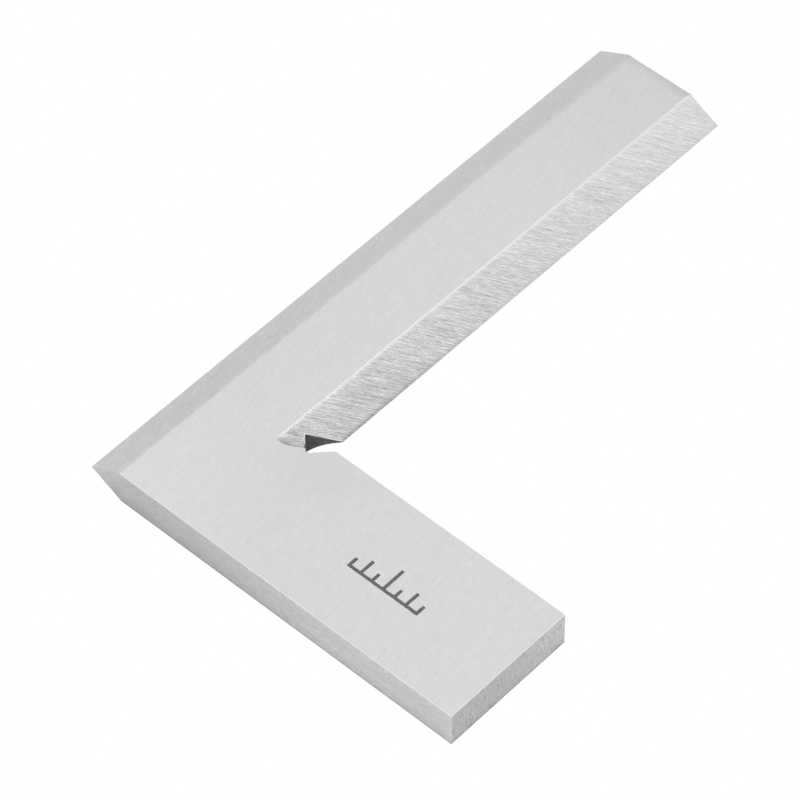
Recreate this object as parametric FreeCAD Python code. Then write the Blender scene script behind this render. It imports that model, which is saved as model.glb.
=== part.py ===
import FreeCAD, Part
import math
import os

# A one-piece knife-edge square, in millimetres.
# Origin: the outer corner, where the outer knife edge meets the base face, at mid-thickness.
# +X runs along the stock, +Y along the blade and +Z out of the marked face.

# driving sizes
BLADE_LENGTH = 80.0    # base face to blade tip
STOCK_LENGTH = 50.0    # outer knife edge to stock end
LEG_WIDTH = 17.0       # both legs
THICKNESS = 4.6        # both legs
BEVEL_WIDTH = 4.1      # each of the four bevels, measured across the broad face
EDGE_LAND = 0.1        # flat left along each knife edge
EDGE_BREAK = 0.05      # chamfer on the broad faces' rims and on the stock end's upright edges

# relief slot in the inner corner, at 45 degrees to both legs
# "along" is from the outer corner out along the 45 degree line, "across" is off it, towards the blade
SLOT_BLADE_WALL = 1.98     # across
SLOT_STOCK_WALL = -1.15    # across
SLOT_FLOOR = 22.07         # along
SLOT_MOUTH = 28.0          # along, past both inner edges
SLOT_BLADE_RADIUS = 0.12   # floor corner at the blade wall
SLOT_STOCK_RADIUS = 0.5    # floor corner at the stock wall

# run-out beside the relief slot, where the bevel's cutter stops short of the stock: its rounded rim
# leaves part of a circle, which meets the bevel's face at a slight angle
RUNOUT_RADIUS = 1.57
RUNOUT_CENTRE = 1.57       # along the bevel's face, square to the cutter's travel
RUNOUT_HEIGHT = 1.48       # of the arc's centre above the bevel's face

# scoop ground out of the plain side's inner bevel, where it meets the slot's blade wall
SCOOP_RADIUS = 5.22    # of the arc it leaves on the wall
SCOOP_ALONG = 25.6     # the arc's centre
SCOOP_Z = -5.4         # the arc's centre
SCOOP_FADE = 1.5       # how far the scoop's ball is centred off the wall, in the slot

# etched mark on the stock: a base line that carries a row of ticks, the middle one full height
MARK_DEPTH = 0.05
MARK_STROKE = 0.42
MARK_LEFT = 29.5           # x
MARK_BASE = 6.9            # y
MARK_LENGTH = 9.6
MARK_TICKS = (1.4, 2.2, 1.4, 3.3, 1.4, 2.2, 1.4)    # heights from the base line's lower side

HALF = THICKNESS / 2
BEVEL_SLOPE = (HALF - EDGE_LAND / 2) / BEVEL_WIDTH
BEVEL_TOP = LEG_WIDTH - BEVEL_WIDTH    # x of the inner bevels' upper lines
DIAGONAL = math.sqrt(0.5)
OVERCUT = 1.0    # how far a cutter reaches past the part


def point(x, y, z):
    return FreeCAD.Vector(x, y, z)


def on_diagonal(along, across, z):
    return point((along - across) * DIAGONAL, (along + across) * DIAGONAL, z)


def prism(corners, push):
    outline = Part.makePolygon(corners + corners[:1])
    return Part.Face(outline).extrude(push)


def other_side(cutter):
    """The same cut on the opposite broad face."""
    return cutter.mirror(point(0, 0, 0), point(0, 0, 1))


def plate():
    """The L of both legs, full thickness, before any edge is worked."""
    outline = [
        point(0, 0, -HALF),
        point(STOCK_LENGTH, 0, -HALF),
        point(STOCK_LENGTH, LEG_WIDTH, -HALF),
        point(LEG_WIDTH, LEG_WIDTH, -HALF),
        point(LEG_WIDTH, BLADE_LENGTH, -HALF),
        point(0, BLADE_LENGTH, -HALF),
    ]
    return prism(outline, point(0, 0, THICKNESS))


def relief_slot():
    """The slot's space, cut right through, with the corners of its floor rounded."""
    low = -HALF - OVERCUT
    space = prism(
        [
            on_diagonal(SLOT_FLOOR, SLOT_STOCK_WALL, low),
            on_diagonal(SLOT_MOUTH, SLOT_STOCK_WALL, low),
            on_diagonal(SLOT_MOUTH, SLOT_BLADE_WALL, low),
            on_diagonal(SLOT_FLOOR, SLOT_BLADE_WALL, low),
        ],
        point(0, 0, THICKNESS + 2 * OVERCUT),
    )
    for across, radius in ((SLOT_BLADE_WALL, SLOT_BLADE_RADIUS), (SLOT_STOCK_WALL, SLOT_STOCK_RADIUS)):
        corner = on_diagonal(SLOT_FLOOR, across, 0)
        space = space.makeFillet(radius, [e for e in space.Edges if upright_at(e, corner)])
    return space


def upright_at(edge, corner):
    """True for an edge along Z through this corner of the outline."""
    return all(math.hypot(v.X - corner.x, v.Y - corner.y) < 1e-6 for v in edge.Vertexes)


def on_broad_face(edge):
    return all(abs(abs(v.Z) - HALF) < 1e-6 for v in edge.Vertexes)


def break_edges(body):
    """Chamfers the rims of both broad faces and the stock end's upright edges."""
    stock_end = [point(STOCK_LENGTH, y, 0) for y in (0, LEG_WIDTH)]
    edges = [
        e
        for e in body.Edges
        if on_broad_face(e) or any(upright_at(e, corner) for corner in stock_end)
    ]
    return body.makeChamfer(EDGE_BREAK, edges)


def outer_bevel():
    """What is cut away above the outer bevel, along the whole blade."""
    y = -OVERCUT
    low = EDGE_LAND / 2 - BEVEL_SLOPE * OVERCUT
    high = HALF + BEVEL_SLOPE * OVERCUT
    corners = [
        point(-OVERCUT, y, low),
        point(BEVEL_WIDTH + OVERCUT, y, high),
        point(-OVERCUT, y, high),
    ]
    return prism(corners, point(0, BLADE_LENGTH + 2 * OVERCUT, 0))


def inner_bevel():
    """What is cut away above the inner bevel: a section across the 45 degree line, pushed along it.

    The cutter travels along that line, down the bevel, so the section ends in the arc of its rim.
    """
    travel = point(1, 1, -BEVEL_SLOPE).normalize()
    upward = point(BEVEL_SLOPE, 0, 1).normalize()
    sideways = upward.cross(travel)
    start = point(BEVEL_TOP, BEVEL_TOP, HALF) - OVERCUT * travel

    def section_point(side, height):
        return start + side * sideways + height * upward

    def rim_point(turn):
        return section_point(
            RUNOUT_CENTRE - RUNOUT_RADIUS * math.sin(turn),
            RUNOUT_HEIGHT - RUNOUT_RADIUS * math.cos(turn),
        )

    first = math.acos(RUNOUT_HEIGHT / RUNOUT_RADIUS)
    last = math.pi / 2
    clear = 2 * THICKNESS
    corners = [
        rim_point(last),
        section_point(RUNOUT_CENTRE - RUNOUT_RADIUS, clear),
        section_point(BLADE_LENGTH, clear),
        section_point(BLADE_LENGTH, 0),
        rim_point(first),
    ]
    rim = Part.Arc(corners[-1], rim_point((first + last) / 2), corners[0]).toShape()
    section = Part.Face(Part.Wire([rim] + Part.makePolygon(corners).Edges))
    return section.extrude(BLADE_LENGTH * travel)


def scoop():
    """What is ground away beside the slot: part of a ball that stops at the slot's blade wall."""
    centre = on_diagonal(SCOOP_ALONG, SLOT_BLADE_WALL - SCOOP_FADE, SCOOP_Z)
    ball = Part.makeSphere(math.hypot(SCOOP_RADIUS, SCOOP_FADE), centre)
    far = SLOT_BLADE_WALL + 2 * SCOOP_RADIUS
    blade_side = prism(
        [
            on_diagonal(SCOOP_ALONG - 2 * SCOOP_RADIUS, SLOT_BLADE_WALL, -LEG_WIDTH),
            on_diagonal(SCOOP_ALONG + 2 * SCOOP_RADIUS, SLOT_BLADE_WALL, -LEG_WIDTH),
            on_diagonal(SCOOP_ALONG + 2 * SCOOP_RADIUS, far, -LEG_WIDTH),
            on_diagonal(SCOOP_ALONG - 2 * SCOOP_RADIUS, far, -LEG_WIDTH),
        ],
        point(0, 0, 2 * LEG_WIDTH),
    )
    return ball.common(blade_side)


def etched_mark():
    """The dark etch on the stock, one stroke width throughout, flush with the broad face."""

    def stroke(x, length, height):
        corner = point(MARK_LEFT + x, MARK_BASE, HALF - MARK_DEPTH)
        return Part.makeBox(length, height, MARK_DEPTH, corner)

    pitch = (MARK_LENGTH - MARK_STROKE) / (len(MARK_TICKS) - 1)
    ticks = [stroke(i * pitch, MARK_STROKE, height) for i, height in enumerate(MARK_TICKS)]
    return stroke(0, MARK_LENGTH, MARK_STROKE).multiFuse(ticks).removeSplitter()


def square_body(mark):
    """The hardened steel square itself, with the mark's shallow recess."""
    body = break_edges(plate().cut(relief_slot()))
    for bevel in (outer_bevel(), inner_bevel()):
        body = body.cut(bevel).cut(other_side(bevel))
    return body.cut(scoop()).cut(mark)


def one_solid(shape):
    assert len(shape.Solids) == 1 and shape.isValid()
    return shape.Solids[0]


mark = one_solid(etched_mark())
pieces = {
    "square_body": one_solid(square_body(mark)),
    "etched_mark": mark,
}
os.makedirs("parts", exist_ok=True)
for name, shape in pieces.items():
    shape.exportStep("parts/" + name + ".step")
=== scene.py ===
"""Looks of a one-piece knife-edge square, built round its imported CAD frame.

Shapes are worked out in millimetres, in the CAD frame's axes, and stored in metres.
"Along" is measured from the outer corner out along the 45 degree line, and "across" is off that line,
towards the blade. The relief slot and the inner bevels' grinding streaks both run along it.
"""

import math

import bpy
import numpy as np
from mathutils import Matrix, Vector
from mathutils.geometry import delaunay_2d_cdt


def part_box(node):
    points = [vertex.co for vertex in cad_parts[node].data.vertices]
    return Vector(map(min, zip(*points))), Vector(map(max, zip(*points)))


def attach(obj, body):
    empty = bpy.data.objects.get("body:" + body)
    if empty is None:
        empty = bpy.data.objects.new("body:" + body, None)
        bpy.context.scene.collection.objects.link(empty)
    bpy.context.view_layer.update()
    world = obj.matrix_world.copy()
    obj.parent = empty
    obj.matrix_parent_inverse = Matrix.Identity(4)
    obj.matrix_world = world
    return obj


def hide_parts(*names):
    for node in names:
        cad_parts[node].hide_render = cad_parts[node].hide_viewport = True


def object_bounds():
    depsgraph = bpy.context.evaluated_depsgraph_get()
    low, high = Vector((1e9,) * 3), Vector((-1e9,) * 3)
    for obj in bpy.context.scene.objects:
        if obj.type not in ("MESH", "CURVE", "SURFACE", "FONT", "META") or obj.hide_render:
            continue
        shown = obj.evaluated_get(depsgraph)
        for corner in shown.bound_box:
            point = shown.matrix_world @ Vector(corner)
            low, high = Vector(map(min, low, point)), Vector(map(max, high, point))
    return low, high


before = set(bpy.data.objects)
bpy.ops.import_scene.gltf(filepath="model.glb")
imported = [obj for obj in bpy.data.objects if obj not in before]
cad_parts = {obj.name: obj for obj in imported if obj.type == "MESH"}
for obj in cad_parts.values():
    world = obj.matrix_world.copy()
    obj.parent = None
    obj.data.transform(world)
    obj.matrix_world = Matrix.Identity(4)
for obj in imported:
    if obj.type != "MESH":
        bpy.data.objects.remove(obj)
cad_low, cad_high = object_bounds()

MM = 0.001
BLADE_LENGTH = cad_high.y / MM
STOCK_LENGTH = cad_high.x / MM
HALF = cad_high.z / MM    # half the thickness

# section, in millimetres
LEG_WIDTH = 17.0
BEVEL_WIDTH = 4.1
EDGE_LAND = 0.1
SLOPE = (HALF - EDGE_LAND / 2) / BEVEL_WIDTH
BEVEL_TOP = LEG_WIDTH - BEVEL_WIDTH    # x of the inner bevel's upper line
BEVEL_BLEND = 0.12     # half the width over which the outer bevel rounds into the broad face
BLEND_STEPS = 4        # in that half

# how far sharp edges are broken
RIM_BREAK = 0.05       # rims of the broad faces
UPRIGHT_BREAK = 0.025  # stock end's upright edges
PLAIN_BREAK = 0.03     # the most on the plain side
FLOOR_BREAK = 0.12     # slot's floor
WALL_BREAK = 0.08      # slot's blade wall
STOCK_BREAK = 0.03     # slot's stock wall
BREAK_UNEVEN = 0.2     # how much of its width each break wanders by
LEAST_BREAK = 0.01     # anything narrower stays sharp

# relief slot
SLOT_BLADE_WALL = 1.98     # across
SLOT_STOCK_WALL = -1.15    # across
SLOT_FLOOR = 22.07         # along
SLOT_BLADE_RADIUS = 0.12
SLOT_STOCK_RADIUS = 0.5

# run-out of the inner bevel, an arc in the section square to the grinding streaks
RUNOUT_RADIUS = 1.57
RUNOUT_CENTRE = 1.57   # along the bevel's face
RUNOUT_HEIGHT = 1.48   # above the bevel's face

# scoop in the plain side, beside the slot
SCOOP_RADIUS = 5.22
SCOOP_ALONG = 25.6
SCOOP_Z = -5.4
SCOOP_FADE = 1.5

# etched mark
MARK_STROKE = 0.42
MARK_TICKS = (1.4, 2.2, 1.4, 3.3, 1.4, 2.2, 1.4)    # heights from the base line's lower side
MARK_RAGGED = 0.03     # how far the etch's edges wander
MARK_INSET = 0.4       # the share of that by which they stay inside the outline
ETCH_SINK = 0.012      # how far the etch stays under the broad face
ETCH_UNEVEN = 0.004    # height of the etch's bumps

# grinding marks and wear that are part of the shape
GROOVE = 0.003         # height of the grinding grooves
COARSE_GROOVE = (0.33, 2.6)    # their size across and along
FINE_GROOVE = (0.15, 1.4)
GROOVE_FADE = 0.3      # how far from the bevel's edges the grooves reach full height
LINE_WIDTH = 0.2       # of the ragged line where the inner bevel meets the broad face
LINE_LEAD = 0.07       # how far that line starts before the bevel's plane
LINE_FADE = 0.25       # across, from the run-out to where the line has its full width
LINE_CALMS = (8, 24)   # across, from where to where the line grows calmer
TIP_SHIFT = 0.35       # how far the line bends outward at the blade's end
TIP_REACH = 0.6        # across, over which it does
WEAR = 0.006           # how far the inner knife edge is worn back, on average
NICK_RARITY = 0.62     # from 0 for many nicks to 1 for none
NICK_DEPTH = 0.16      # the deepest nick is (1 - NICK_RARITY) of this

# mesh spacing: rows of points on the inner bevel, and points along the outline
ROW_PITCH = 0.07       # between rows, across
ROW_POINTS = 12        # down each row
RUNOUT_ROWS = 24
SHORTEST_ROW = 0.05
KEEP_OFF = 0.12        # how far the rows stay off the knife edge
LAST_ROW = 0.03        # across, how far they stay off the blade's end
LEAST_FACET = 0.02     # the least space between the first two points of a row
EDGE_PITCH = 0.5       # straight edges
OUTER_PITCH = 0.8      # outer knife edge
OUTER_END_PITCH = 0.4  # ends of the outer bevel
INNER_END_PITCH = 0.1  # end of the inner bevel
STOCK_WALL_PITCH = 0.2
FLOOR_PITCH = 0.08
BLADE_WALL_PITCH = 0.15
ETCH_PITCH = 0.1

SHARP_ANGLE = 14       # degrees between faces, from which an edge is shaded sharp
TOUCH = 0.001          # closer than this counts as touching
TINY = 1e-6            # rounding errors stay under this
DIAGONAL = math.sqrt(0.5)


# ---------------------------------------------------------------- repeatable noise


def mix_bits(i, j, seed):
    """A repeatable number from 0 to 1 for each pair of whole numbers."""
    h = (i * 374761393 + j * 668265263 + seed * 1442695041) & 0xFFFFFFFF
    h = ((h ^ (h >> 13)) * 1274126177) & 0xFFFFFFFF
    return (h ^ (h >> 16)) / 2.0**32


def noise(a, b, seed):
    """Smooth noise from -1 to 1 with about one bump per unit of a and of b."""
    a, b = np.broadcast_arrays(np.asarray(a, float), np.asarray(b, float))
    i, j = np.floor(a).astype(np.int64), np.floor(b).astype(np.int64)
    s, t = a - i, b - j
    s, t = s * s * (3 - 2 * s), t * t * (3 - 2 * t)
    near = mix_bits(i, j, seed) * (1 - s) + mix_bits(i + 1, j, seed) * s
    far = mix_bits(i, j + 1, seed) * (1 - s) + mix_bits(i + 1, j + 1, seed) * s
    return 2 * (near * (1 - t) + far * t) - 1


# ---------------------------------------------------------------- heights


def on_diagonal(along, across):
    return (along - across) * DIAGONAL, (along + across) * DIAGONAL


# the inner bevel's section plane: along the cutter's travel, square to the bevel, and square to both
TRAVEL = np.array([1, 1, -SLOPE]) / math.sqrt(2 + SLOPE**2)
UPWARD = np.array([SLOPE, 0, 1]) / math.sqrt(1 + SLOPE**2)
SIDEWAYS = np.cross(UPWARD, TRAVEL)
SIDE_PER_ACROSS = 1 / ((SIDEWAYS[1] - SIDEWAYS[0]) * DIAGONAL)
LEAN = math.hypot(SIDEWAYS[2], UPWARD[2])
RUNOUT_REACH = (LEAN * RUNOUT_RADIUS + SIDEWAYS[2] * RUNOUT_HEIGHT) / UPWARD[2]
RUNOUT_LIMIT = (RUNOUT_CENTRE - RUNOUT_REACH) / SIDE_PER_ACROSS
RUNOUT_EDGE = (RUNOUT_CENTRE - math.sqrt(RUNOUT_RADIUS**2 - RUNOUT_HEIGHT**2)) / SIDE_PER_ACROSS


def runout_rise(across):
    """How far the run-out stands above the bevel's plane, straight up, and whether it cuts there at all."""
    gap = np.minimum(across * SIDE_PER_ACROSS - RUNOUT_CENTRE, 0)
    a = LEAN**2
    b = 2 * (SIDEWAYS[2] * gap - RUNOUT_HEIGHT * UPWARD[2])
    c = gap**2 + RUNOUT_HEIGHT**2 - RUNOUT_RADIUS**2
    reach = b**2 - 4 * a * c
    rise = (-b - np.sqrt(np.maximum(reach, 0))) / (2 * a)
    return np.where(across > RUNOUT_EDGE, 0, np.maximum(rise, 0)), reach > 0


def ragged_line(across, side):
    """The inner bevel meets the broad face in a narrow uneven facet: the x of its top and of its foot."""
    fade = np.clip((across - RUNOUT_EDGE) / LINE_FADE, 0, 1)
    torn = np.interp(across, LINE_CALMS, (1.0, 0.5))
    uneven = 0.1 * noise(across / 0.9, side, 11) + 0.35 * noise(across / 0.15, side, 12)
    width = LINE_WIDTH * (0.9 + torn * uneven)
    wander = 0.3 * noise(across / 1.4, side, 13) + 0.8 * noise(across / 0.2, side, 14)
    top = BEVEL_TOP - fade * LINE_LEAD * torn**2 * (0.9 + wander)
    last = (BLADE_LENGTH - BEVEL_TOP) * DIAGONAL
    top = top + TIP_SHIFT * np.clip((across - last) / TIP_REACH + 1, 0, 1) ** 2
    return top, np.maximum(top + width * fade, BEVEL_TOP)


def bevel_start(across, side):
    """x where the inner bevel or its run-out leaves the broad face."""
    rise = runout_rise(across)[0] / SLOPE
    return np.where(across > RUNOUT_EDGE, ragged_line(across, side)[0], BEVEL_TOP + rise)


def outer_height(x):
    """The outer bevel, rounded over where it reaches the broad face."""
    reach = SLOPE * BEVEL_BLEND
    gap = (EDGE_LAND / 2 + SLOPE * x - HALF) / reach
    rounded = reach * (gap - (np.clip(gap, -1, 1) + 1) ** 2 / 4)
    return HALF + np.where(gap < -1, reach * gap, np.where(gap > 1, 0, rounded))


def scooped(along, across):
    """What the scoop leaves of the plain side: outside a ball, on the blade's side of the slot."""
    ball = SCOOP_RADIUS**2 + SCOOP_FADE**2
    flat = (along - SCOOP_ALONG) ** 2 + (across - SLOT_BLADE_WALL + SCOOP_FADE) ** 2
    left = -SCOOP_Z - np.sqrt(np.maximum(ball - flat, 0))
    return np.where((flat < ball) & (across > SLOT_BLADE_WALL - TINY), left, 2 * HALF)


def surface(x, y, side):
    """Height above mid-thickness of the marked side, 0, or below it of the plain side, 1."""
    along, across = (x + y) * DIAGONAL, (y - x) * DIAGONAL
    rise, cut = runout_rise(across)
    plane = np.where(cut, HALF - SLOPE * (x - BEVEL_TOP) + rise, 2 * HALF)
    top, foot = ragged_line(across, side)
    facet = HALF - SLOPE * (foot - BEVEL_TOP) * np.clip((x - top) / np.maximum(foot - top, TINY), 0, 1)
    inner = np.where((x < foot) & (across > RUNOUT_EDGE), facet, plane)
    if side == 1:
        inner = np.minimum(inner, scooped(along, across))
    depth = np.clip((x - foot) / GROOVE_FADE, 0, 1) * np.clip((LEG_WIDTH - x) / GROOVE_FADE, 0, 1)
    depth = depth * np.clip((across - RUNOUT_EDGE) / GROOVE_FADE, 0, 1)
    coarse = noise(across / COARSE_GROOVE[0], along / COARSE_GROOVE[1], 21 + side)
    fine = noise(across / FINE_GROOVE[0], along / FINE_GROOVE[1], 31 + side)
    return np.minimum(np.minimum(outer_height(x), HALF), inner + GROOVE * depth * (coarse + fine))


# ---------------------------------------------------------------- the plan


def rows_across():
    """Across values of the rows of points that follow the grinding streaks, run-out included."""
    step = 0.004
    hollow = np.linspace(RUNOUT_LIMIT + step, RUNOUT_EDGE, RUNOUT_ROWS)
    beside = np.arange(RUNOUT_EDGE + ROW_PITCH, SLOT_BLADE_WALL - WALL_BREAK, ROW_PITCH)
    end = (BLADE_LENGTH - BEVEL_TOP) * DIAGONAL
    blade = np.arange(SLOT_BLADE_WALL + WALL_BREAK + ROW_PITCH / 2, end - LAST_ROW, ROW_PITCH)
    return np.concatenate([[RUNOUT_LIMIT - step], hollow, beside, blade])


def nick(y):
    """How far the inner knife edge is worn back."""
    deep = np.maximum(noise(y / 0.35, 0, 41) - NICK_RARITY, 0)
    return WEAR * (1 + noise(y / 1.3, 0, 42)) + NICK_DEPTH * deep


def walk(start, end, pitch):
    """Evenly spaced points from start up to, but not with, end."""
    start, end = np.array(start, float), np.array(end, float)
    count = max(1, round(float(np.linalg.norm(end - start)) / pitch))
    return [tuple(start + (end - start) * i / count) for i in range(count)]


def bend(along, across, radius, first, last, steps=6):
    """Points of an arc without its last one, at angles measured from the diagonal."""
    turns = [math.radians(first + (last - first) * i / steps) for i in range(steps)]
    return [on_diagonal(along + radius * math.cos(t), across + radius * math.sin(t)) for t in turns]


def outline():
    """The whole outline, anticlockwise: its points, and how far the edge is broken at each of them."""
    mouth = on_diagonal(LEG_WIDTH / DIAGONAL - SLOT_STOCK_WALL, SLOT_STOCK_WALL)
    tip = on_diagonal(LEG_WIDTH / DIAGONAL + SLOT_BLADE_WALL, SLOT_BLADE_WALL)
    stock_bend = (SLOT_FLOOR + SLOT_STOCK_RADIUS, SLOT_STOCK_WALL + SLOT_STOCK_RADIUS)
    blade_bend = (SLOT_FLOOR + SLOT_BLADE_RADIUS, SLOT_BLADE_WALL - SLOT_BLADE_RADIUS)
    blend = [BEVEL_WIDTH + BEVEL_BLEND * k / BLEND_STEPS for k in range(-BLEND_STEPS, BLEND_STEPS + 1)]
    far = blend[-1] + OUTER_END_PITCH
    cut = UPRIGHT_BREAK
    rows = LEG_WIDTH + rows_across() / DIAGONAL
    rows = rows[(rows > tip[1] + KEEP_OFF) & (rows < BLADE_LENGTH - KEEP_OFF)]
    outer_foot = walk((0, 0), (blend[0], 0), OUTER_END_PITCH) + [(x, 0) for x in blend[:-1]]
    base = walk((far, 0), (STOCK_LENGTH - cut, 0), EDGE_PITCH)
    stock_end = walk((STOCK_LENGTH, cut), (STOCK_LENGTH, LEG_WIDTH - cut), EDGE_PITCH)
    stock_inside = walk((STOCK_LENGTH - cut, LEG_WIDTH), mouth, EDGE_PITCH)
    stock_wall = walk(mouth, on_diagonal(stock_bend[0], SLOT_STOCK_WALL), STOCK_WALL_PITCH)
    floor_start = on_diagonal(SLOT_FLOOR, stock_bend[1])
    slot_floor = walk(floor_start, on_diagonal(SLOT_FLOOR, blade_bend[1]), FLOOR_PITCH)
    blade_wall = walk(on_diagonal(blade_bend[0], SLOT_BLADE_WALL), tip, BLADE_WALL_PITCH)
    worn = [(LEG_WIDTH - float(nick(y)), float(y)) for y in rows]
    knife_edge = [tip] + worn + [(LEG_WIDTH, BLADE_LENGTH)]
    inner_start = (LEG_WIDTH - INNER_END_PITCH, BLADE_LENGTH)
    inner_end = walk(inner_start, (BEVEL_TOP, BLADE_LENGTH), INNER_END_PITCH)
    blade_end = walk((BEVEL_TOP, BLADE_LENGTH), (far, BLADE_LENGTH), EDGE_PITCH)
    outer_end = walk((blend[0] - OUTER_END_PITCH, BLADE_LENGTH), (0, BLADE_LENGTH), OUTER_END_PITCH)
    parts = [
        (outer_foot, 0),
        ([(blend[-1], 0)] + base + [(STOCK_LENGTH - cut, 0)], RIM_BREAK),
        (stock_end + [(STOCK_LENGTH, LEG_WIDTH - cut)], RIM_BREAK),
        (stock_inside, RIM_BREAK),
        (stock_wall, STOCK_BREAK),
        (bend(*stock_bend, SLOT_STOCK_RADIUS, 270, 180), FLOOR_BREAK),
        (slot_floor, FLOOR_BREAK),
        (bend(*blade_bend, SLOT_BLADE_RADIUS, 180, 90), WALL_BREAK),
        (blade_wall, WALL_BREAK),
        (knife_edge, 0),
        (inner_end, 0),
        (blade_end + [(blend[-1], BLADE_LENGTH)], RIM_BREAK),
        ([(x, BLADE_LENGTH) for x in reversed(blend[:-1])], 0),
        (outer_end, 0),
        (walk((0, BLADE_LENGTH), (0, 0), OUTER_PITCH), 0),
    ]
    points = [point for part, _ in parts for point in part]
    widths = [width for part, width in parts for _ in part]
    return np.array(points, float), np.array(widths)


def break_width(points, widths, side):
    """How far the edge is broken at each outline point, uneven, and no lower than the knife edge's land."""
    if side == 1:
        widths = np.minimum(widths, PLAIN_BREAK)
    height = surface(points[:, 0], points[:, 1], side)
    wander = 1 + BREAK_UNEVEN * noise((points[:, 0] + 2 * points[:, 1]) / 1.7, side, 51)
    return np.minimum(widths * wander, np.maximum(height - EDGE_LAND / 2, 0))


def inward(points, widths):
    """Each outline point moved square to its neighbours' sides, by its own width."""
    before = points - np.roll(points, 1, axis=0)
    after = np.roll(points, -1, axis=0) - points
    before /= np.linalg.norm(before, axis=1)[:, None]
    after /= np.linalg.norm(after, axis=1)[:, None]
    left = np.stack([-before[:, 1] - after[:, 1], before[:, 0] + after[:, 0]], axis=1)
    return points + left * (2 * widths / np.sum(left**2, axis=1))[:, None]


def mark_outline():
    """The etch's outline, anticlockwise, with edges that wander a little."""
    low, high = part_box("etched_mark")
    x0, y0, length = low.x / MM, low.y / MM, (high.x - low.x) / MM
    pitch = (length - MARK_STROKE) / (len(MARK_TICKS) - 1)
    corners = [(x0, y0), (x0 + length, y0)]
    for i in reversed(range(len(MARK_TICKS))):
        right, left, top = x0 + i * pitch + MARK_STROKE, x0 + i * pitch, y0 + MARK_TICKS[i]
        corners += [(right, y0 + MARK_STROKE)] if i < len(MARK_TICKS) - 1 else []
        corners += [(right, top), (left, top)]
        corners += [(left, y0 + MARK_STROKE)] if i > 0 else []
    points = []
    for start, end in zip(corners, corners[1:] + corners[:1]):
        points += walk(start, end, ETCH_PITCH)
    points = np.array(points)
    wander = 0.6 * noise(points[:, 0] / 0.12, points[:, 1] / 0.12, 61)
    wander += 0.4 * noise(points[:, 0] / 0.3, points[:, 1] / 0.3, 62)
    return inward(points, MARK_RAGGED * (wander + MARK_INSET))


def inside(points, loop):
    """Which of the points lie inside a closed loop."""
    x, y = points[:, 0], points[:, 1]
    found = np.zeros(len(points), bool)
    for (x0, y0), (x1, y1) in zip(loop, np.roll(loop, -1, axis=0)):
        if y0 != y1:
            found ^= ((y0 > y) != (y1 > y)) & (x < x0 + (x1 - x0) * (y - y0) / (y1 - y0))
    return found


def bevel_rows(side):
    """Points down each grinding row of the inner bevel, to the knife edge or the slot."""
    rows = []
    for across in rows_across():
        start = float(bevel_start(across, side))
        foot = max(start + LEAST_FACET, float(ragged_line(across, side)[1]))
        if across < SLOT_BLADE_WALL:
            end = (SLOT_FLOOR - across) * DIAGONAL - FLOOR_BREAK * 1.5
        else:
            end = min(LEG_WIDTH - KEEP_OFF, BLADE_LENGTH - across / DIAGONAL - RIM_BREAK * 2)
        xs = [start] + list(np.linspace(foot, end, ROW_POINTS)) if end > foot + SHORTEST_ROW else [start]
        if start < end:
            rows.append([(x, x + across / DIAGONAL) for x in xs])
    return rows


def anticlockwise(plan, triangles):
    a, b, c = (plan[triangles[:, k]] for k in range(3))
    turn = (b[:, 0] - a[:, 0]) * (c[:, 1] - a[:, 1]) - (b[:, 1] - a[:, 1]) * (c[:, 0] - a[:, 0])
    return np.where((turn > 0)[:, None], triangles, triangles[:, ::-1])


def flat_mesh(points, lines):
    """Triangles in plan that keep the lines: places, triangles, and the points each place came from."""
    found, _, triangles, sources, _, _ = delaunay_2d_cdt([Vector(p) for p in points], lines, [], 1, 1e-7)
    plan = np.array([tuple(p) for p in found])
    return plan, anticlockwise(plan, np.array([tuple(t) for t in triangles])), sources


def triangulate(side, edge_points, edge_widths, etch):
    """The plan of one side as triangles, with every line where the surface creases kept as an edge."""
    count = len(edge_points)
    widths = break_width(edge_points, edge_widths, side)
    offset = inward(edge_points, widths)
    points = [tuple(p) for p in edge_points]
    lines = [(i, (i + 1) % count) for i in range(count)]
    at = list(range(count))
    for i in np.nonzero(widths > LEAST_BREAK)[0]:
        at[i] = len(points)
        points.append(tuple(offset[i]))
    for i in range(count):
        j = (i + 1) % count
        if at[i] != i or at[j] != j:
            lines.append((at[i], at[j]))
    bottom = [at[i] for i in range(count) if edge_points[i, 1] == 0]
    top = {round(edge_points[i, 0], 6): at[i] for i in range(count) if edge_points[i, 1] == BLADE_LENGTH}
    for i in bottom:
        x = round(points[i][0], 6)
        if abs(x - BEVEL_WIDTH) <= BEVEL_BLEND + TINY:
            lines.append((i, top[x]))
    previous = []
    for row in bevel_rows(side):
        first = len(points)
        points += row
        now = list(range(first, len(points)))
        lines += list(zip(now, now[1:]))
        lines += list(zip(previous[:2], now[:2]))
        previous = now
    if etch is not None:
        first = len(points)
        points += [tuple(p) for p in etch]
        lines += [(first + i, first + (i + 1) % len(etch)) for i in range(len(etch))]
    plan, triangles, sources = flat_mesh(points, lines)
    drop = np.zeros(len(plan))
    rim = {}
    for new, old in enumerate(sources):
        for i in old:
            if i < count:
                rim[i] = new
                drop[new] = widths[i]
    return plan, triangles, drop, [rim[i] for i in range(count)]


# ---------------------------------------------------------------- the meshes


def boundary(triangles):
    """The directed edges that only one triangle uses."""
    edges = np.concatenate([triangles[:, [0, 1]], triangles[:, [1, 2]], triangles[:, [2, 0]]])
    known = {tuple(e) for e in edges.tolist()}
    return [e for e in known if (e[1], e[0]) not in known]


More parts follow.
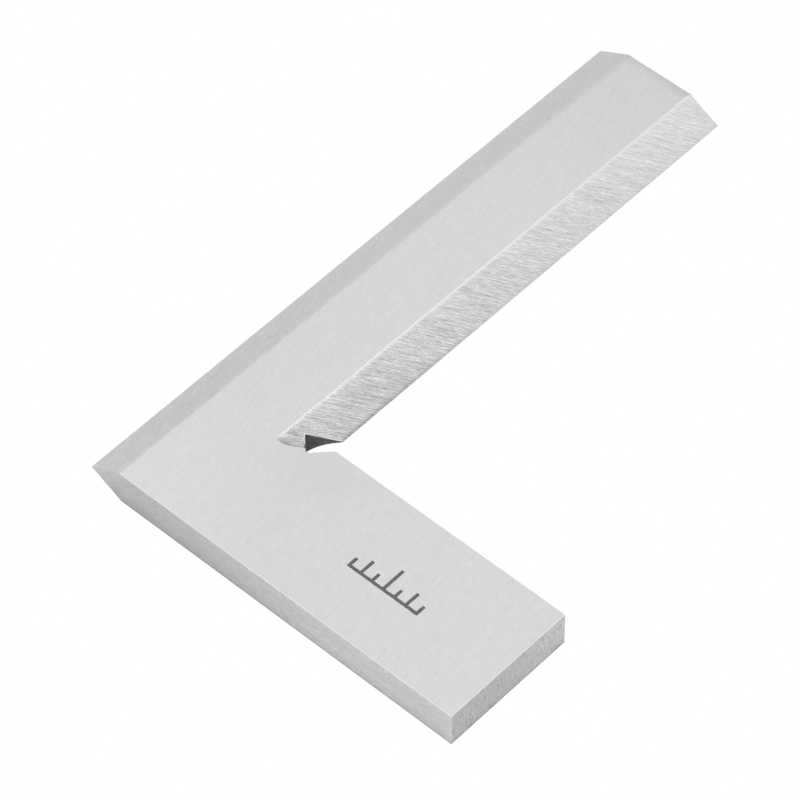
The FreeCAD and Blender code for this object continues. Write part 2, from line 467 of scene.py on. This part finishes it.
def surface_kinds(middles, drops, side):
    """Which ground surface each triangle of a broad side belongs to."""
    x = middles[:, 0]
    across = (middles[:, 1] - x) * DIAGONAL
    rows = rows_across()
    start = np.interp(across, rows, bevel_start(rows, side))
    start = np.where(across < RUNOUT_LIMIT, STOCK_LENGTH, start)
    foot = np.interp(across, rows, np.maximum(bevel_start(rows, side), ragged_line(rows, side)[1]))
    kinds = np.full(len(x), "broad", dtype=object)
    kinds[x < BEVEL_WIDTH] = "outer_bevel"
    kinds[x > start] = "line"
    kinds[x > np.maximum(start, foot)] = "inner_bevel"
    kinds[(x > start) & (across < RUNOUT_EDGE)] = "runout"
    kinds[drops > 0] = "rim"
    return kinds


def wall_kind(start, end):
    """Which upright wall an outline edge belongs to."""
    x, y = (start + end) / 2
    tip = LEG_WIDTH + SLOT_BLADE_WALL / DIAGONAL
    if y < TOUCH or y > BLADE_LENGTH - TOUCH:
        return "base"
    if x > STOCK_LENGTH - TOUCH:
        return "stock_end"
    if x < TOUCH or y > tip:
        return "knife"
    if x > STOCK_LENGTH - UPRIGHT_BREAK:
        return "rim"
    if y > LEG_WIDTH - TOUCH and x > LEG_WIDTH - SLOT_STOCK_WALL / DIAGONAL:
        return "base"
    return "slot"


def new_piece(name, points, faces, kinds, materials):
    """A mesh object from points in millimetres, with one material for each kind of surface."""
    mesh = bpy.data.meshes.new(name)
    mesh.from_pydata((np.asarray(points) * MM).tolist(), [], faces)
    names = sorted(set(kinds))
    for kind in names:
        mesh.materials.append(materials[kind])
    mesh.polygons.foreach_set("material_index", [names.index(kind) for kind in kinds])
    mesh.polygons.foreach_set("use_smooth", [True] * len(faces))
    mesh.set_sharp_from_angle(angle=math.radians(SHARP_ANGLE))
    mesh.validate()
    mesh.update()
    piece = bpy.data.objects.new(name, mesh)
    bpy.context.scene.collection.objects.link(piece)
    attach(piece, "root")
    return piece


def square(etch, materials):
    """The square itself, closed all round, with the etch's shallow recess in its marked side."""
    edge_points, edge_widths = outline()
    points, faces, kinds, rims = [], [], [], []
    for side in (0, 1):
        cut = etch if side == 0 else None
        plan, triangles, drop, rim = triangulate(side, edge_points, edge_widths, cut)
        sign = 1 if side == 0 else -1
        height = sign * (surface(plan[:, 0], plan[:, 1], side) - drop)
        first = len(points)
        points += np.column_stack([plan, height]).tolist()
        middles = plan[triangles].mean(axis=1)
        marked = inside(middles, etch) if side == 0 else np.zeros(len(triangles), bool)
        for triangle in triangles[~marked]:
            corners = [first + int(i) for i in triangle]
            faces.append(corners if side == 0 else corners[::-1])
        kinds += surface_kinds(middles[~marked], drop[triangles[~marked]].max(axis=1), side).tolist()
        if side == 0:
            faces_in, kinds_in = recess(points, triangles[marked], plan)
            faces += faces_in
            kinds += kinds_in
        rims.append([first + i for i in rim])
    top, bottom = rims
    for i in range(len(edge_points)):
        j = (i + 1) % len(edge_points)
        faces.append([bottom[i], bottom[j], top[j], top[i]])
        kinds.append(wall_kind(edge_points[i], edge_points[j]))
    return new_piece("square_body_ground", points, faces, kinds, materials)


def recess(points, triangles, plan):
    """The recess's floor and walls. Its floor points are added to the list of points."""
    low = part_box("etched_mark")[0].z / MM
    floor = {}
    for i in sorted(set(triangles.ravel().tolist())):
        floor[i] = len(points)
        points.append([*plan[i], low])
    faces = [[floor[int(i)] for i in triangle] for triangle in triangles]
    faces += [[floor[b], floor[a], a, b] for a, b in boundary(triangles)]
    return faces, ["rim"] * len(faces)


def etch_inlay(etch, materials):
    """The dark etch, a thin closed plate on the recess's floor."""
    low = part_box("etched_mark")[0].z / MM
    loop = [(i, (i + 1) % len(etch)) for i in range(len(etch))]
    plan, triangles, _ = flat_mesh(etch, loop)
    count = len(plan)
    uneven = ETCH_UNEVEN * noise(plan[:, 0] / 0.15, plan[:, 1] / 0.15, 71)
    upper = np.column_stack([plan, HALF - ETCH_SINK + uneven])
    lower = np.column_stack([plan, np.full(count, low)])
    points = np.vstack([upper, lower])
    faces = triangles.tolist() + (triangles[:, ::-1] + count).tolist()
    faces += [[a + count, b + count, b, a] for a, b in boundary(triangles)]
    return new_piece("etched_mark_dark", points, faces, ["etch"] * len(faces), materials)


# ---------------------------------------------------------------- materials


class Graph:
    """A short way to write a material's nodes. Lengths inside it are in millimetres."""

    def __init__(self, name):
        self.material = bpy.data.materials.new(name)
        self.material.use_nodes = True
        self.tree = self.material.node_tree
        self.shader = self.tree.nodes["Principled BSDF"]
        self.place = self.tree.nodes.new("ShaderNodeTexCoord").outputs["Object"]

    def node(self, kind, inputs, **settings):
        node = self.tree.nodes.new(kind)
        for key, value in settings.items():
            setattr(node, key, value)
        for key, value in inputs.items():
            self.feed(node.inputs[key], value)
        return node

    def feed(self, socket, value):
        if isinstance(value, bpy.types.NodeSocket):
            self.tree.links.new(value, socket)
        else:
            socket.default_value = value

    def math(self, operation, *values):
        return self.node("ShaderNodeMath", dict(enumerate(values)), operation=operation).outputs[0]

    def add(self, *values):
        total = values[0]
        for value in values[1:]:
            total = self.math("ADD", total, value)
        return total

    def times(self, a, b):
        return self.math("MULTIPLY", a, b)

    def product(self, *values):
        total = values[0]
        for value in values[1:]:
            total = self.times(total, value)
        return total

    def stretched(self, turn, lengths):
        """Object coordinates in millimetres, turned in plan and divided by the size of a mark each way."""
        in_mm = self.node("ShaderNodeMapping", {"Vector": self.place, "Scale": (1 / MM,) * 3}).outputs[0]
        turned = self.node("ShaderNodeMapping", {"Vector": in_mm, "Rotation": (0, 0, math.radians(turn))})
        scale = [1 / length for length in lengths]
        return self.node("ShaderNodeMapping", {"Vector": turned.outputs[0], "Scale": scale}).outputs[0]

    def marks(self, turn, lengths, detail=2.0):
        """Noise from about -1 to 1 whose marks have these lengths in millimetres."""
        where = self.stretched(turn, lengths)
        settings = {"Vector": where, "Scale": 1.0, "Detail": detail, "Roughness": 0.6}
        grey = self.node("ShaderNodeTexNoise", settings).outputs["Fac"]
        return self.math("MULTIPLY_ADD", grey, 4.0, -2.0)

    def specks(self, turn, lengths, share):
        """1 inside sparse marks and 0 elsewhere. A larger share means more of them."""
        where = self.stretched(turn, lengths)
        settings = {"Vector": where, "Scale": 1.0, "Detail": 1.0}
        grey = self.node("ShaderNodeTexNoise", settings).outputs["Fac"]
        ends = {"Value": grey, "From Min": 0.80 - share, "From Max": 0.84 - share}
        return self.node("ShaderNodeMapRange", ends, interpolation_type="SMOOTHSTEP").outputs[0]

    def coordinate(self, axis):
        """Position along an axis, in millimetres."""
        parts = self.node("ShaderNodeSeparateXYZ", {"Vector": self.place}).outputs
        return self.times(parts[axis], 1 / MM)

    def ramp(self, value, start, end, low, high):
        """Low up to start and high from end on, with a smooth change between them."""
        ends = {"Value": value, "From Min": start, "From Max": end, "To Min": low, "To Max": high}
        return self.node("ShaderNodeMapRange", ends, interpolation_type="SMOOTHSTEP").outputs[0]

    def distance(self, x, y):
        """Distance in plan from a point of the broad face, in millimetres."""
        ends = {0: self.place, 1: (x * MM, y * MM, cad_high.z)}
        gap = self.node("ShaderNodeVectorMath", ends, operation="DISTANCE").outputs["Value"]
        return self.times(gap, 1 / MM)

    def painted_contact_shade(self, z):
        """The lowest part of an upright face, darkened with painted shade where it meets the plain side."""
        return self.ramp(z, 0.03 - HALF, 0.25 - HALF, 0.58, 1.0)

    def finish(self, tone, roughness, height, metallic=1.0, tint=(1.0, 1.0, 1.0)):
        """Sets the shader from a tone, a roughness and a height in millimetres."""
        tone = self.math("MINIMUM", tone, 0.95)
        colour = self.node("ShaderNodeCombineColor", {})
        for channel, share in zip(colour.inputs, tint):
            self.feed(channel, self.times(tone, share))
        self.feed(self.shader.inputs["Base Color"], colour.outputs[0])
        self.feed(self.shader.inputs["Roughness"], roughness)
        self.shader.inputs["Metallic"].default_value = metallic
        if height is not None:
            bump = self.node("ShaderNodeBump", {"Height": height, "Distance": MM, "Strength": 1.0})
            self.feed(self.shader.inputs["Normal"], bump.outputs[0])
        return self.material


# degrees by which each face's grinding is turned in plan
BROAD_TURN = -10
OUTER_TURN = -17
INNER_TURN = -45

SLOT_SHADE_SPOT = (20.0, 14.5)   # middle of a patch of painted shade on the broad face, on the slot's stock side
SLOT_HIGHLIGHT_SPOT = (17.0, 19.0)  # middle of where the rims carry a painted highlight, at the slot's mouth

# every ground face is the same steel: their tones differ partly as the grinding does and partly as painted
# light and shade, and the rims' and the ragged line's tones are raised above them as painted highlight on
# real broken edges
BROAD_TONE = 0.64
BEVEL_TONE = 0.597
INNER_TONE = 0.66
EDGE_TONE = 0.64
LINE_TONE = 0.765
RIM_TONE = 0.88
SLOT_TONE = 0.2


def broad_steel():
    """Satin grinding a little off the blade's length, with faint clouds and sparse dark specks.

    Painted light and shade on it: lighter near the corner and a little towards the stock's end, darker
    towards the blade's end, beside the slot and in a strip beside the outer bevel.
    """
    g = Graph("steel_broad")
    bands = g.marks(BROAD_TURN, (0.5, 3.5, 3.0))
    lines = g.marks(BROAD_TURN, (0.2, 1.0, 1.0))
    grain = g.marks(BROAD_TURN, (0.12, 0.25, 0.2))
    clouds = g.marks(BROAD_TURN, (4.0, 9.0, 9.0))
    specks = g.specks(BROAD_TURN, (0.3, 0.35, 0.3), 0.0)
    marks = g.add(1.0, g.times(bands, 0.02), g.times(lines, 0.04), g.times(grain, 0.04))
    marks = g.add(marks, g.times(clouds, 0.006), g.times(specks, -0.15))
    x, y = g.coordinate("X"), g.coordinate("Y")
    # painted light: lighter near the corner and a little towards the stock's end, darker towards the
    # blade's end
    near = g.ramp(g.add(x, y), LEG_WIDTH * 0.5, LEG_WIDTH * 1.5, 1.04, 1.0)
    far = g.ramp(y, BLADE_LENGTH * 0.65, BLADE_LENGTH, 1.0, 0.945)
    stock = g.ramp(x, LEG_WIDTH, STOCK_LENGTH, 1.0, 1.01)
    # painted shade: darker round a spot beside the slot, in the last millimetre or so before the blade's
    # end, and in a strip beside the outer bevel that grows towards the blade's end
    slot_shade = g.ramp(g.distance(*SLOT_SHADE_SPOT), 0.0, 8.0, 0.965, 1.0)
    painted_end_shade = g.ramp(g.add(y, g.times(x, 0.06)), BLADE_LENGTH - 1.2, BLADE_LENGTH + 1.2, 1.0, 0.84)
    painted_strip_shade = g.times(g.ramp(x, BEVEL_WIDTH, BEVEL_WIDTH + 0.7, -0.07, 0.0), g.ramp(y, 50, 76, 0.3, 1.0))
    tone = g.product(BROAD_TONE, marks, near, far, stock, slot_shade, painted_end_shade, g.add(1.0, painted_strip_shade))
    roughness = g.add(0.36, g.times(clouds, 0.02), g.times(lines, 0.03))
    height = g.add(g.times(lines, 0.0004), g.times(grain, 0.0002))
    return g.finish(tone, roughness, height)


def outer_bevel_steel():
    """Finely ground, with faint slanting marks, and painted light and shade up and along it."""
    g = Graph("steel_outer_bevel")
    bands = g.marks(OUTER_TURN, (0.6, 4.0, 2.0))
    lines = g.marks(OUTER_TURN, (0.22, 1.1, 1.0))
    grain = g.marks(OUTER_TURN, (0.14, 0.35, 0.3))
    mixed = g.add(g.times(bands, 0.035), g.times(lines, 0.07), g.times(grain, 0.075))
    x, y = g.coordinate("X"), g.coordinate("Y")
    marks = g.add(1.0, g.times(mixed, g.ramp(y, LEG_WIDTH, BLADE_LENGTH * 0.7, 1.1, 0.8)))
    # painted light and shade: lighter towards its upper line, darker from y 3 to 9 mm, lighter from y 12 to
    # 34 mm, and darker towards the blade's end
    upper = g.ramp(x, 3.5, BEVEL_WIDTH, 1.0, 1.045)
    hollow = g.times(g.ramp(y, 3, 9, 1.0, 0.972), g.ramp(y, 12, 34, 1.0, 1.029))
    far = g.ramp(y, BLADE_LENGTH * 0.7, BLADE_LENGTH, 1.0, 0.98)
    tone = g.product(BEVEL_TONE, marks, upper, hollow, far)
    roughness = g.add(0.34, g.times(bands, 0.02))
    return g.finish(tone, roughness, g.times(lines, 0.0003))


def streaks(g):
    """Coarse grinding at 45 degrees in plan: its coarse and fine lines, and all of it mixed."""
    coarse = g.marks(INNER_TURN, (4.0, 0.08, 4.0), detail=1.0)
    fine = g.marks(INNER_TURN, (2.4, 0.045, 2.4), detail=1.0)
    strength = g.ramp(g.marks(INNER_TURN, (0.6, 0.2, 0.6)), -0.7, 0.7, 0.2, 1.8)
    breaks = g.marks(INNER_TURN, (0.75, 0.075, 0.75), detail=1.0)
    grain = g.marks(INNER_TURN, (0.22, 0.06, 0.22))
    bright = g.specks(INNER_TURN, (1.3, 0.075, 1.3), 0.17)
    mixed = g.times(strength, g.add(g.times(coarse, 0.2), g.times(fine, 0.34)))
    mixed = g.add(mixed, g.times(breaks, 0.2), g.times(grain, 0.22), g.times(bright, 0.28))
    return coarse, fine, mixed


def inner_bevel_steel():
    """Coarse grinding across the bevel, calmer towards the blade's end, with painted light and shade:
    lighter towards the blade's end, darker beside the run-out, and a painted highlight below the ragged
    line.
    """
    g = Graph("steel_inner_bevel")
    coarse, fine, mixed = streaks(g)
    x, y = g.coordinate("X"), g.coordinate("Y")
    calm = g.ramp(x, BEVEL_TOP, BEVEL_TOP + 1.0, g.ramp(y, 20, 45, 0.85, 0.45), 1.0)
    bands = g.times(g.marks(INNER_TURN, (5.0, 0.8, 5.0)), g.ramp(y, 30, 60, 0.05, 0.02))
    marks = g.add(1.0, bands, g.product(mixed, calm, g.ramp(y, LEG_WIDTH, BLADE_LENGTH, 1.04, 0.58)))
    # painted light: lighter towards the blade's end, and a little lighter at its upper line than at the
    # knife edge
    painted_light_ramp = g.ramp(y, LEG_WIDTH, BLADE_LENGTH, 0.815, 0.98)
    lower = g.ramp(x, BEVEL_TOP, LEG_WIDTH, 1.02, 0.97)
    across = g.times(g.math("SUBTRACT", y, x), DIAGONAL)
    # painted shade: darker beside the run-out
    painted_shade_beside_runout = g.ramp(across, RUNOUT_EDGE, 2.1, 0.84, 1.0)
    # painted highlight: a brighter band just below the ragged line, fading towards the blade's end
    reach = g.add(x, g.times(coarse, -0.1), g.times(fine, -0.15))
    torn = g.times(g.ramp(reach, BEVEL_TOP + 0.1, BEVEL_TOP + 0.5, 0.2, 0.0), g.ramp(y, 30, 75, 1.0, 0.4))
    # darker along the knife edge, most towards the corner end
    worn = g.times(g.ramp(x, LEG_WIDTH - 0.45, LEG_WIDTH - 0.05, 0.0, -0.3), g.ramp(y, 24, 44, 1.0, 0.1))
    tone = g.product(INNER_TONE, marks, painted_light_ramp, lower, painted_shade_beside_runout, g.add(1.0, torn, worn))
    roughness = g.add(0.36, g.times(coarse, 0.05))
    height = g.add(g.times(coarse, 0.0012), g.times(fine, 0.0006))
    return g.finish(tone, roughness, height)


def ragged_line_steel():
    """Torn metal where the inner bevel's grinding breaks out into the broad face, its brightness partly
    painted highlight that fades towards the blade's end.
    """
    g = Graph("steel_ragged_line")
    torn = g.marks(INNER_TURN, (0.8, 0.08, 0.8))
    # painted highlight, a little darker towards the blade's end
    fade = g.ramp(g.coordinate("Y"), BLADE_LENGTH * 0.5, BLADE_LENGTH, 1.0, 0.93)
    tone = g.product(LINE_TONE, g.add(1.0, g.times(torn, 0.1)), fade)
    return g.finish(tone, g.add(0.3, g.times(torn, 0.05)), g.times(torn, 0.001))


def runout_steel():
    """The hollow where the inner bevel's cutter stopped: smooth and held darker with painted shade in its
    first corner, streaked beyond, with painted highlights along its outer edge and across its middle.
    """
    g = Graph("steel_runout")
    coarse, _, mixed = streaks(g)
    x, y = g.coordinate("X"), g.coordinate("Y")
    along = g.times(g.add(x, y), DIAGONAL)
    across = g.times(g.math("SUBTRACT", y, x), DIAGONAL)
    past = g.add(across, g.times(along, 0.3))
    streaked = g.math("MAXIMUM", g.ramp(past, 6.85, 7.0, 0.0, 1.0), g.ramp(along, 20.2, 20.9, 0.0, 1.0))
    # painted highlights: a band along the hollow's outer edge, and another from across 0 to 0.6 mm
    painted_lip_highlight = g.ramp(across, RUNOUT_LIMIT, 0.5, 0.22, 0.0)
    bottom = g.times(g.ramp(across, -0.05, 0.3, 0.0, 0.22), g.ramp(across, 0.3, 0.6, 1.0, 0.0))
    # painted shade: the smooth corner keeps a lower tone than the streaked part
    tone = g.times(INNER_TONE, g.add(0.74, g.times(streaked, g.add(0.19, mixed, painted_lip_highlight, bottom))))
    return g.finish(tone, 0.34, g.product(coarse, streaked, 0.001))


def base_steel():
    """Ground along the stock, on the base, the inner stock face and the blade's end, with painted light and
    shade: lighter towards the stock's end, darker towards the foot.
    """
    g = Graph("steel_base")
    lines = g.marks(0, (1.4, 0.5, 0.22))
    scratches = g.marks(0, (0.6, 0.4, 0.13))
    clouds = g.marks(0, (6.0, 2.0, 1.2))
    specks = g.specks(0, (0.5, 0.4, 0.2), 0.04)
    marks = g.add(1.0, g.times(lines, 0.14), g.times(scratches, 0.18), g.times(clouds, 0.02))
    marks = g.add(marks, g.times(specks, -0.12))
    x, z = g.coordinate("X"), g.coordinate("Z")
    # painted light: lighter towards the stock's end, most below mid-height there
    painted_light_ramp = g.ramp(x, LEG_WIDTH * 0.3, STOCK_LENGTH * 0.8, 0.86, 1.0)
    painted_light_band = g.times(g.ramp(x, LEG_WIDTH, STOCK_LENGTH * 0.7, 0.0, 0.05), g.ramp(z, -0.4, 0.8, 1.0, 0.0))
    # painted shade: darker towards the foot, where the floor is
    foot = g.times(g.ramp(z, -HALF, -1.4, 0.94, 1.0), g.ramp(z, -1.4, -0.6, 0.965, 1.0))
    tone = g.product(EDGE_TONE, marks, painted_light_ramp, g.add(1.0, painted_light_band), foot, g.painted_contact_shade(z))
    height = g.add(g.times(lines, 0.0004), g.times(scratches, 0.0003))
    return g.finish(tone, g.add(0.34, g.times(lines, 0.03)), height)


def stock_end_steel():
    """Ground upright, with coarse patchy streaks, faint stains and small dark pits, and painted light and
    shade across and up it.
    """
    g = Graph("steel_stock_end")
    lines = g.marks(0, (0.5, 0.3, 1.2))
    fine = g.marks(0, (0.5, 0.19, 0.45))
    clouds = g.marks(0, (1.0, 1.3, 1.6))
    pits = g.specks(0, (0.3, 0.25, 0.3), 0.09)
    stains = g.specks(0, (0.8, 0.8, 1.1), 0.16)
    patchy = g.ramp(clouds, -0.5, 0.6, 0.35, 1.5)
    marks = g.times(patchy, g.add(g.times(lines, 0.2), g.times(fine, 0.2)))
    marks = g.add(1.01, marks, g.times(clouds, -0.03), g.times(pits, -0.3), g.times(stains, -0.07))
    y, z = g.coordinate("Y"), g.coordinate("Z")
    # painted light and shade: lighter away from the outer corner, darker towards the inner side and towards
    # the top, and its tone set a little under the base's
    painted_light_ramp = g.ramp(y, LEG_WIDTH * 0.3, LEG_WIDTH, 0.9, 1.0)
    painted_shade_inner_side = g.ramp(y, 13.5, LEG_WIDTH, 1.0, 0.93)
    upper = g.ramp(z, -HALF, HALF, 1.04, 0.95)
    tone = g.product(EDGE_TONE, 0.94, marks, painted_light_ramp, painted_shade_inner_side, upper, g.painted_contact_shade(z))
    height = g.add(g.times(lines, 0.0008), g.times(fine, 0.0004))
    return g.finish(tone, g.add(0.36, g.times(lines, 0.04)), height)


def dressed_steel():
    """Edges broken with a stone, set brighter than the faces as partly painted highlight, with painted
    shade at the blade's end and lower down, and a painted highlight near the slot's mouth.
    """
    g = Graph("steel_dressed_edge")
    uneven = g.marks(0, (0.5, 0.5, 0.2))
    # painted shade: the rims darker at the blade's end and towards the plain side
    painted_rim_end_shade = g.ramp(g.coordinate("Y"), BLADE_LENGTH - 0.5, BLADE_LENGTH - 0.3, 1.0, 0.6)
    shaded = g.ramp(g.coordinate("Z"), -HALF, 0.0, 0.45, 1.0)
    # painted highlight: the rims brighter near the slot's mouth
    bright = g.ramp(g.distance(*SLOT_HIGHLIGHT_SPOT), 4.5, 6.0, 1.16, 1.0)
    tone = g.product(RIM_TONE, g.add(1.0, g.times(uneven, 0.05)), painted_rim_end_shade, shaded, bright)
    return g.finish(tone, g.add(0.3, g.times(uneven, 0.05)), g.times(uneven, 0.001))


def slot_steel():
    """Inside the relief slot the steel keeps its dark heat scale."""
    g = Graph("steel_heat_scale")
    mottle = g.marks(0, (0.5, 0.5, 0.5))
    grain = g.marks(0, (0.15, 0.15, 0.15))
    light = g.specks(0, (0.3, 0.3, 0.3), 0.1)
    tone = g.add(SLOT_TONE, g.times(mottle, 0.07), g.times(grain, 0.06), g.times(light, 0.12))
    return g.finish(tone, g.add(0.5, g.times(mottle, 0.06)), g.times(grain, 0.006), metallic=0.6)


def etch_dark():
    """A matt deposit, mottled, on an uneven etched ground."""
    g = Graph("dark_etch")
    mottle = g.marks(0, (0.25, 0.25, 0.25))
    grain = g.marks(0, (0.06, 0.06, 0.06))
    tone = g.add(0.13, g.times(mottle, 0.03), g.times(grain, 0.02))
    return g.finish(tone, g.add(0.62, g.times(mottle, 0.05)), g.times(grain, 0.004), metallic=0.3)


# ---------------------------------------------------------------- the stage

FLOOR_SIZE = 4.0
FLOOR_SEEN = 1.0         # white, as the camera sees the floor and the far wall
FLOOR_WHITENESS = 0.95   # as the steel sees the floor
HORIZON_LIGHT = 0.88
OVERHEAD_LIGHT = 1.12
CAMERA_AZIMUTH = 43.252  # degrees, turning from -Y towards +X
CAMERA_ELEVATION = 50.197
CAMERA_ROLL = -0.942
CAMERA_DISTANCE = 0.4907
CAMERA_AIM = (0.01756, 0.027886, 0.0)
CAMERA_LENS = 211.56


def floor():
    """A plain white floor the object rests on. The camera sees it pure white, and the steel sees it lit."""
    low = cad_low.z
    mesh = bpy.data.meshes.new("floor")
    r = FLOOR_SIZE
    mesh.from_pydata([(-r, -r, low), (r, -r, low), (r, r, low), (-r, r, low)], [], [(0, 1, 2, 3)])
    material = bpy.data.materials.new("floor_white")
    material.use_nodes = True
    tree = material.node_tree
    tree.nodes.clear()
    path = tree.nodes.new("ShaderNodeLightPath")
    lit = tree.nodes.new("ShaderNodeBsdfDiffuse")
    lit.inputs["Color"].default_value = (FLOOR_WHITENESS, FLOOR_WHITENESS, FLOOR_WHITENESS, 1)
    glow = tree.nodes.new("ShaderNodeEmission")
    glow.inputs["Strength"].default_value = FLOOR_SEEN
    pick = tree.nodes.new("ShaderNodeMixShader")
    out = tree.nodes.new("ShaderNodeOutputMaterial")
    tree.links.new(path.outputs["Is Camera Ray"], pick.inputs["Fac"])
    tree.links.new(lit.outputs[0], pick.inputs[1])
    tree.links.new(glow.outputs[0], pick.inputs[2])
    tree.links.new(pick.outputs[0], out.inputs["Surface"])
    mesh.materials.append(material)
    piece = bpy.data.objects.new("floor", mesh)
    bpy.context.scene.collection.objects.link(piece)


def surroundings():
    """Plain soft light from all round, stronger overhead. The camera sees it plain white."""
    world = bpy.data.worlds.new("studio")
    world.use_nodes = True
    tree = world.node_tree
    background = tree.nodes["Background"]
    background.inputs["Color"].default_value = (1, 1, 1, 1)
    place = tree.nodes.new("ShaderNodeTexCoord")
    parts = tree.nodes.new("ShaderNodeSeparateXYZ")
    light = tree.nodes.new("ShaderNodeMapRange")
    light.interpolation_type = "SMOOTHSTEP"
    light.inputs["To Min"].default_value = HORIZON_LIGHT
    light.inputs["To Max"].default_value = OVERHEAD_LIGHT
    path = tree.nodes.new("ShaderNodeLightPath")
    pick = tree.nodes.new("ShaderNodeMix")
    pick.inputs["B"].default_value = FLOOR_SEEN
    tree.links.new(place.outputs["Generated"], parts.inputs["Vector"])
    tree.links.new(parts.outputs["Z"], light.inputs["Value"])
    tree.links.new(path.outputs["Is Camera Ray"], pick.inputs["Factor"])
    tree.links.new(light.outputs["Result"], pick.inputs["A"])
    tree.links.new(pick.outputs["Result"], background.inputs["Strength"])
    bpy.context.scene.world = world


def camera():
    """Looks down on the marked face, with the base and the stock's end in sight."""
    data = bpy.data.cameras.new("camera")
    data.lens = CAMERA_LENS
    data.clip_start = 0.01
    thing = bpy.data.objects.new("camera", data)
    bpy.context.scene.collection.objects.link(thing)
    azimuth, elevation = math.radians(CAMERA_AZIMUTH), math.radians(CAMERA_ELEVATION)
    level = math.cos(elevation)
    back = Vector((math.sin(azimuth) * level, -math.cos(azimuth) * level, math.sin(elevation)))
    thing.location = Vector(CAMERA_AIM) + CAMERA_DISTANCE * back
    thing.rotation_euler = (-back).to_track_quat("-Z", "Y").to_euler()
    thing.rotation_euler.rotate_axis("Z", math.radians(CAMERA_ROLL))
    bpy.context.scene.camera = thing


# ---------------------------------------------------------------- the scene

etch = mark_outline()
finely_ground = outer_bevel_steel()
steel = {
    "broad": broad_steel(),
    "outer_bevel": finely_ground,
    "inner_bevel": inner_bevel_steel(),
    "line": ragged_line_steel(),
    "runout": runout_steel(),
    "knife": finely_ground,
    "base": base_steel(),
    "stock_end": stock_end_steel(),
    "rim": dressed_steel(),
    "slot": slot_steel(),
}
body = square(etch, steel)
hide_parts("square_body")
inlay = etch_inlay(etch, {"etch": etch_dark()})
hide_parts("etched_mark")

floor()
surroundings()
camera()
bpy.context.scene.view_settings.view_transform = "Standard"
